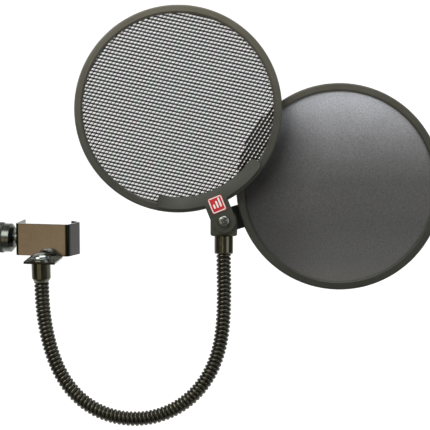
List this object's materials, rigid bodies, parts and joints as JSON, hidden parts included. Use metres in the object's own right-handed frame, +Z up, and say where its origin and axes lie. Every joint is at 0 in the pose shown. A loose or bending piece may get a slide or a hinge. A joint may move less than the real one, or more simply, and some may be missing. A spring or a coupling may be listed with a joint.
{
  "type": "pop filter",
  "caption": "Pop filter: a metal-mesh disc and a fabric disc turn on one screw at the end of a gooseneck that hangs from a screw clamp for a stand tube.",
  "frame": {"origin": "on the axis of the gripped stand tube, at the height of the clamp screw, where the tube sits in the jaw", "axes": "+Z up along the stand tube, +X along the clamp screw from the knob towards the jaw, -Y out of the front face of the clamp bracket"},
  "size_m": [0.3383, 0.1006, 0.3126],
  "materials": {
    "black_gloss": "gloss",
    "bright_steel": "satin",
    "knob_metal": "satin",
    "knob_black": "satin",
    "pad_rubber": "matte",
    "ferrule_black": "satin",
    "gooseneck": "satin",
    "metal_rim": "satin",
    "mesh_black": "satin",
    "plate_grey": "satin",
    "badge": "gloss",
    "fabric_rim": "satin",
    "fabric": "matte"
  },
  "bodies": {
    "clamp": {"clamp_bracket": "black_gloss", "clamp_nut": "black_gloss", "tab_washer": "black_gloss", "tab_screw": "black_gloss", "base_ferrule": "ferrule_black", "gooseneck_link_01": "gooseneck"},
    "clamp_screw": {"clamp_screw_shaft": "bright_steel", "knob_collar": "knob_metal", "knob_head": "knob_black"},
    "pressure_pad": {"pressure_pad": "pad_rubber"},
    "neck_02": {"gooseneck_link_02": "gooseneck"},
    "neck_03": {"gooseneck_link_03": "gooseneck"},
    "neck_04": {"gooseneck_link_04": "gooseneck"},
    "neck_05": {"gooseneck_link_05": "gooseneck"},
    "neck_06": {"gooseneck_link_06": "gooseneck"},
    "neck_07": {"gooseneck_link_07": "gooseneck"},
    "neck_08": {"gooseneck_link_08": "gooseneck"},
    "neck_09": {"gooseneck_link_09": "gooseneck"},
    "neck_10": {"gooseneck_link_10": "gooseneck"},
    "neck_11": {"gooseneck_link_11": "gooseneck"},
    "neck_12": {"gooseneck_link_12": "gooseneck"},
    "neck_13": {"gooseneck_link_13": "gooseneck"},
    "neck_14": {"gooseneck_link_14": "gooseneck"},
    "neck_15": {"gooseneck_link_15": "gooseneck"},
    "neck_head": {"gooseneck_link_16": "gooseneck", "top_ferrule": "ferrule_black", "hinge_yoke": "black_gloss", "yoke_screw": "bright_steel", "hinge_spacer": "bright_steel", "front_washer": "bright_steel", "rear_washer": "bright_steel", "nut_washer": "bright_steel", "hinge_screw": "bright_steel", "hinge_nut": "bright_steel"},
    "metal_filter": {"metal_rim": "metal_rim", "metal_mesh": "mesh_black", "metal_plate": "plate_grey", "badge": "badge"},
    "fabric_filter": {"fabric_rim": "fabric_rim", "fabric_disc": "fabric", "fabric_plate": "plate_grey"}
  },
  "joints": [
    {"name": "neck_lower_bend_01", "type": "hinge", "parent": "clamp", "child": "neck_02", "pos_m": [-0.00778, -0.02078, -0.0478], "axis": [0.1891, -0.973, 0.1323], "range_deg": [-18, 4]},
    {"name": "neck_lower_sway_02", "type": "hinge", "parent": "neck_02", "child": "neck_03", "pos_m": [-0.00555, -0.01979, -0.06638], "axis": [-0.9598, -0.2116, -0.1843], "range_deg": [-12, 12]},
    {"name": "neck_lower_bend_03", "type": "hinge", "parent": "neck_03", "child": "neck_04", "pos_m": [-0.0011, -0.01906, -0.08457], "axis": [0.1891, -0.973, 0.1323], "range_deg": [-18, 4]},
    {"name": "neck_lower_sway_04", "type": "hinge", "parent": "neck_04", "child": "neck_05", "pos_m": [0.00637, -0.01816, -0.10173], "axis": [-0.8301, -0.2304, -0.5078], "range_deg": [-12, 12]},
    {"name": "neck_lower_bend_05", "type": "hinge", "parent": "neck_05", "child": "neck_06", "pos_m": [0.01778, -0.01666, -0.11652], "axis": [0.1891, -0.973, 0.1323], "range_deg": [-18, 4]},
    {"name": "neck_lower_sway_06", "type": "hinge", "parent": "neck_06", "child": "neck_07", "pos_m": [0.03299, -0.01433, -0.12722], "axis": [-0.402, -0.1996, -0.8936], "range_deg": [-12, 12]},
    {"name": "neck_lower_bend_07", "type": "hinge", "parent": "neck_07", "child": "neck_08", "pos_m": [0.05067, -0.01117, -0.13254], "axis": [0.1891, -0.973, 0.1323], "range_deg": [-18, 4]},
    {"name": "neck_upper_sway_08", "type": "hinge", "parent": "neck_08", "child": "neck_09", "pos_m": [0.06902, -0.00737, -0.13243], "axis": [0.1766, -0.0988, -0.9793], "range_deg": [-12, 12]},
    {"name": "neck_upper_bend_09", "type": "hinge", "parent": "neck_09", "child": "neck_10", "pos_m": [0.08642, -0.00317, -0.1269], "axis": [0.1891, -0.973, 0.1323], "range_deg": [-18, 2.5]},
    {"name": "neck_upper_sway_10", "type": "hinge", "parent": "neck_10", "child": "neck_11", "pos_m": [0.10127, 0.00113, -0.11632], "axis": [0.6898, 0.0358, -0.7231], "range_deg": [-12, 12]},
    {"name": "neck_upper_bend_11", "type": "hinge", "parent": "neck_11", "child": "neck_12", "pos_m": [0.11234, 0.00524, -0.10176], "axis": [0.1891, -0.973, 0.1323], "range_deg": [-18, 2.5]},
    {"name": "neck_upper_sway_12", "type": "hinge", "parent": "neck_12", "child": "neck_13", "pos_m": [0.11912, 0.00891, -0.08469], "axis": [0.946, 0.1444, -0.2904], "range_deg": [-12, 12]},
    {"name": "neck_upper_bend_13", "type": "hinge", "parent": "neck_13", "child": "neck_14", "pos_m": [0.12214, 0.01202, -0.06646], "axis": [0.1891, -0.973, 0.1323], "range_deg": [-18, 2.5]},
    {"name": "neck_upper_sway_14", "type": "hinge", "parent": "neck_14", "child": "neck_15", "pos_m": [0.12279, 0.01464, -0.04791], "axis": [0.9819, 0.1866, -0.0313], "range_deg": [-12, 12]},
    {"name": "neck_upper_bend_15", "type": "hinge", "parent": "neck_15", "child": "neck_head", "pos_m": [0.12238, 0.01699, -0.02933], "axis": [0.1891, -0.973, 0.1323], "range_deg": [-18, 2.5]},
    {"name": "metal_filter_pivot", "type": "hinge", "parent": "neck_head", "child": "metal_filter", "pos_m": [0.12116, 0.02267, 0.01362], "axis": [-0.1891, 0.973, -0.1323], "range_deg": [-19, 135]},
    {"name": "fabric_filter_pivot", "type": "hinge", "parent": "neck_head", "child": "fabric_filter", "pos_m": [0.12116, 0.02267, 0.01362], "axis": [-0.1891, 0.973, -0.1323], "range_deg": [-114, 39]},
    {"name": "clamp_travel", "type": "slide", "parent": "clamp", "child": "pressure_pad", "axis": [1, 0, 0], "range_m": [-0.012, 0.001]},
    {"name": "clamp_screw_turn", "type": "hinge", "parent": "pressure_pad", "child": "clamp_screw", "pos_m": [0, 0, 0], "axis": [1, 0, 0], "range_deg": [-4321, 361]}
  ],
  "couplings": [
    {"joint": "neck_lower_bend_03", "follows": "neck_lower_bend_01", "ratio": 1},
    {"joint": "neck_lower_bend_05", "follows": "neck_lower_bend_01", "ratio": 1},
    {"joint": "neck_lower_bend_07", "follows": "neck_lower_bend_01", "ratio": 1},
    {"joint": "neck_lower_sway_04", "follows": "neck_lower_sway_02", "ratio": 1},
    {"joint": "neck_lower_sway_06", "follows": "neck_lower_sway_02", "ratio": 1},
    {"joint": "neck_upper_sway_10", "follows": "neck_upper_sway_08", "ratio": 1},
    {"joint": "neck_upper_sway_12", "follows": "neck_upper_sway_08", "ratio": 1},
    {"joint": "neck_upper_sway_14", "follows": "neck_upper_sway_08", "ratio": 1},
    {"joint": "neck_upper_bend_11", "follows": "neck_upper_bend_09", "ratio": 1},
    {"joint": "neck_upper_bend_13", "follows": "neck_upper_bend_09", "ratio": 1},
    {"joint": "neck_upper_bend_15", "follows": "neck_upper_bend_09", "ratio": 1},
    {"joint": "clamp_screw_turn", "follows": "clamp_travel", "rad_per_m": 6283.2}
  ]
}
